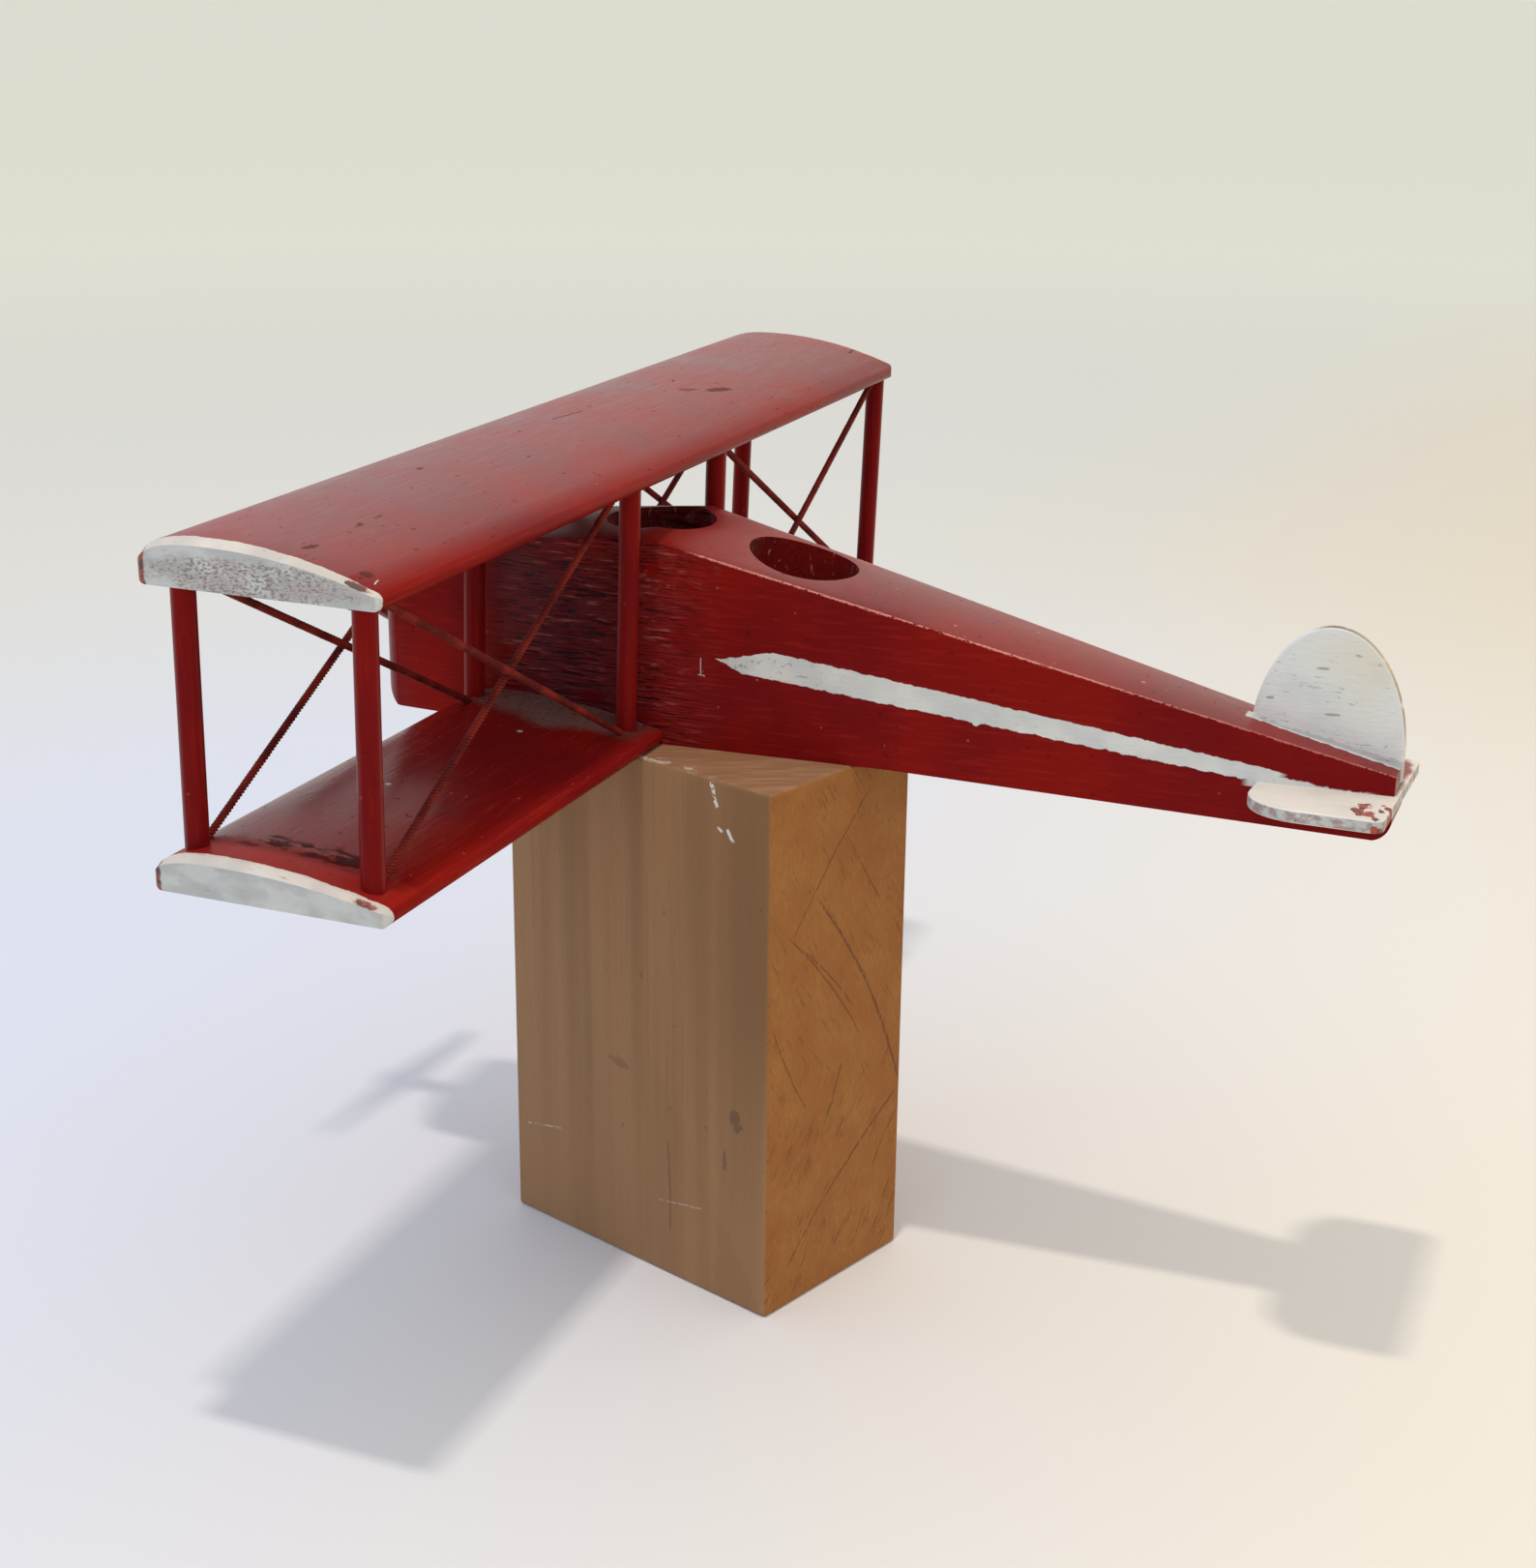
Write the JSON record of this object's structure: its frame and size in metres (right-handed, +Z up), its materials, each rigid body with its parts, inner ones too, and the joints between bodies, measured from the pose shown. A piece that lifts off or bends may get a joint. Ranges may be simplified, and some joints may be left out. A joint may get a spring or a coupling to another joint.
{
  "type": "biplane scale model",
  "caption": "Hand-made wooden biplane scale model with crossed cord rigging, open cockpits and a turning propeller, resting loose on an upright wooden display block.",
  "frame": {"origin": "bottom centre of the bounding box: on the floor plane, on the centre plane of the airframe", "axes": "+X to the model's port side, -Y towards its nose, +Z up"},
  "size_m": [0.309, 0.284, 0.2199],
  "materials": {
    "red_wood": "worn satin red paint on wood",
    "white_wood": "worn white paint on wood",
    "red_cord": "twisted twine, painted red",
    "block_wood": "bare sawn hardwood",
    "steel": "dull wire nail and washers"
  },
  "bodies": {
    "stand": {"display_block": "block_wood"},
    "airframe": {"cord_port_front_inner_high": "red_cord", "cord_port_front_outer_high": "red_cord", "cord_port_rear_inner_high": "red_cord", "cord_port_rear_outer_high": "red_cord", "cord_starboard_front_inner_high": "red_cord", "cord_starboard_front_outer_high": "red_cord", "cord_starboard_rear_inner_high": "red_cord", "cord_starboard_rear_outer_high": "red_cord", "fuselage": "red_wood", "lower_wing": "red_wood", "propeller_nail": "steel", "spacer_bead": "red_wood", "strut_port_inner_front": "red_wood", "strut_port_inner_rear": "red_wood", "strut_port_outer_front": "red_wood", "strut_port_outer_rear": "red_wood", "strut_starboard_inner_front": "red_wood", "strut_starboard_inner_rear": "red_wood", "strut_starboard_outer_front": "red_wood", "strut_starboard_outer_rear": "red_wood", "tail_fin": "white_wood", "tailplane_port": "white_wood", "tailplane_starboard": "white_wood", "upper_wing": "red_wood", "washer_inner": "steel", "washer_outer": "steel"},
    "propeller": {"propeller": "red_wood"}
  },
  "joints": [
    {"name": "airframe_lift", "type": "slide", "parent": "stand", "child": "airframe", "axis": [0, 0, 1], "range_m": [0, 0.12]},
    {"name": "propeller_spin", "type": "hinge", "parent": "airframe", "child": "propeller", "pos_m": [0, -0.13555, 0.1665], "axis": [0, -1, 0], "continuous": true}
  ]
}
